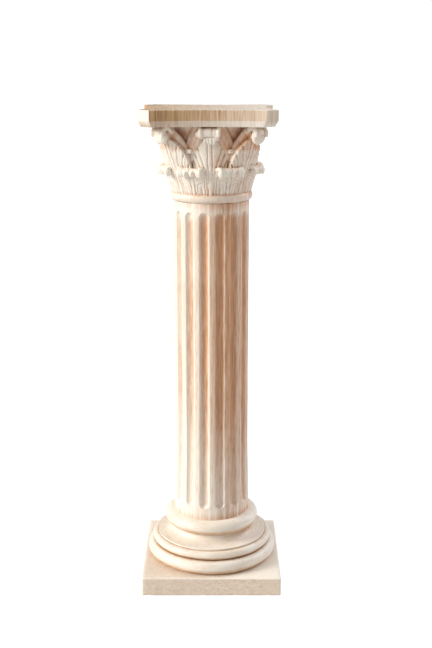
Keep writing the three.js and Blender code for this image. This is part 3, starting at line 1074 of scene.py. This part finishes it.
# Each lamp's name, turn and rise in degrees, strength, softness in degrees and colour.
LAMPS = (("key", -73, 24, 3.25, 26, "fffdf8"), ("rim", 112, 32, 1.5, 40, "eef4ff"))
# Strength of the glow that floor and sky give the pieces, the sky's low and high, and as the camera sees it.
FLOOR_GLOW = 0.62
FLOOR_SEEN = 0.93
LOW_SKY_GLOW = 0.22
HIGH_SKY_GLOW = 0.68
SKY_SEEN = 1.1
# The camera stands at the photograph's viewing angle, tilted down.
CAMERA_PLACE = (0.0095, -2.1716, 1.10035)
CAMERA_TILT = math.radians(14.175)
CAMERA_LENS = 59.07
CAMERA_SENSOR = 36.0
FLOOR_SIZE = 30.0


class PEDESTAL_OT_stage(bpy.types.Operator):
    """Set up the floor, the lights and the camera"""

    bl_idname = "pedestal.stage"
    bl_label = "Stage"

    def execute(self, context):
        scene = context.scene
        scene.view_settings.view_transform = "Standard"
        self.floor(scene)
        self.lights(scene)
        self.camera(scene)
        return {"FINISHED"}

    def floor(self, scene):
        bm = bmesh.new()
        bmesh.ops.create_grid(bm, x_segments=1, y_segments=1, size=FLOOR_SIZE)
        mesh = bpy.data.meshes.new("floor")
        bm.to_mesh(mesh)
        bm.free()
        material = bpy.data.materials.new("pale studio floor")
        material.use_nodes = True
        tree = material.node_tree
        shader = tree.nodes["Principled BSDF"]
        shader.inputs["Base Color"].default_value = (*scene.pedestal.finish.floor, 1)
        shader.inputs["Roughness"].default_value = 0.9
        shader.inputs["Emission Color"].default_value = (1, 1, 1, 1)
        seen = add_node(tree, "ShaderNodeLightPath").outputs["Is Camera Ray"]
        glow = add_node(tree, "ShaderNodeMix", [("Factor", seen), ("A", FLOOR_GLOW), ("B", FLOOR_SEEN)])
        tree.links.new(glow.outputs["Result"], shader.inputs["Emission Strength"])
        mesh.materials.append(material)
        floor = bpy.data.objects.new("floor", mesh)
        scene.collection.objects.link(floor)

    def lights(self, scene):
        world = bpy.data.worlds.new("studio")
        world.use_nodes = True
        tree = world.node_tree
        tree.nodes.clear()
        seen = add_node(tree, "ShaderNodeLightPath").outputs["Is Camera Ray"]
        sky = add_node(tree, "ShaderNodeTexCoord").outputs["Generated"]
        height = add_node(tree, "ShaderNodeSeparateXYZ", [("Vector", sky)]).outputs["Z"]
        glow = add_node(tree, "ShaderNodeMapRange", [("Value", height), ("To Min", LOW_SKY_GLOW),
                                                     ("To Max", HIGH_SKY_GLOW)])
        strength = add_node(tree, "ShaderNodeMix", [("Factor", seen), ("A", glow.outputs["Result"]),
                                                    ("B", SKY_SEEN)])
        white = add_node(tree, "ShaderNodeBackground", [("Color", (1, 1, 1, 1)),
                                                        ("Strength", strength.outputs["Result"])])
        add_node(tree, "ShaderNodeOutputWorld", [("Surface", white.outputs["Background"])])
        scene.world = world
        for name, turn, rise, power, softness, tone in LAMPS:
            light = bpy.data.lights.new(name, "SUN")
            light.energy = power
            light.color = colour(tone)
            light.angle = math.radians(softness)
            lamp = bpy.data.objects.new(name, light)
            lamp.rotation_euler = (QUARTER - math.radians(rise), 0, math.radians(turn))
            scene.collection.objects.link(lamp)

    def camera(self, scene):
        data = bpy.data.cameras.new("camera")
        data.sensor_fit = "VERTICAL"
        data.sensor_height = CAMERA_SENSOR
        data.lens = CAMERA_LENS
        camera = bpy.data.objects.new("camera", data)
        camera.location = CAMERA_PLACE
        camera.rotation_euler = (QUARTER - CAMERA_TILT, 0, 0)
        scene.collection.objects.link(camera)
        scene.camera = camera


class PEDESTAL_PT_panel(bpy.types.Panel):
    """Lists the pedestal's pieces and settings"""

    bl_idname = "PEDESTAL_PT_panel"
    bl_label = "Column Pedestal"
    bl_space_type = "VIEW_3D"
    bl_region_type = "UI"
    bl_category = "Pedestal"

    def draw(self, context):
        settings = context.scene.pedestal
        for operator in OPERATORS:
            self.layout.operator(operator.bl_idname)
        for name in PedestalSettings.__annotations__:
            group = getattr(settings, name)
            column = self.layout.column(heading=name.capitalize())
            for key in group.__annotations__:
                column.prop(group, key)


OPERATORS = (PEDESTAL_OT_plinth, PEDESTAL_OT_base, PEDESTAL_OT_shaft, PEDESTAL_OT_capital, PEDESTAL_OT_board,
             PEDESTAL_OT_stage)
CLASSES = (PlinthSettings, BaseSettings, ShaftSettings, CapitalSettings, BoardSettings, FinishSettings,
           PedestalSettings, *OPERATORS, PEDESTAL_PT_panel)


def register():
    """Registers the classes and the scene's settings."""
    for cls in CLASSES:
        bpy.utils.register_class(cls)
    bpy.types.Scene.pedestal = PointerProperty(type=PedestalSettings)


def unregister():
    """Removes the scene's settings and the classes."""
    del bpy.types.Scene.pedestal
    for cls in reversed(CLASSES):
        bpy.utils.unregister_class(cls)


def main():
    """Builds the pedestal and its stage."""
    register()
    bpy.ops.pedestal.plinth()
    bpy.ops.pedestal.base()
    bpy.ops.pedestal.shaft()
    bpy.ops.pedestal.capital()
    bpy.ops.pedestal.board()
    bpy.ops.pedestal.stage()


if __name__ == "__main__":
    main()
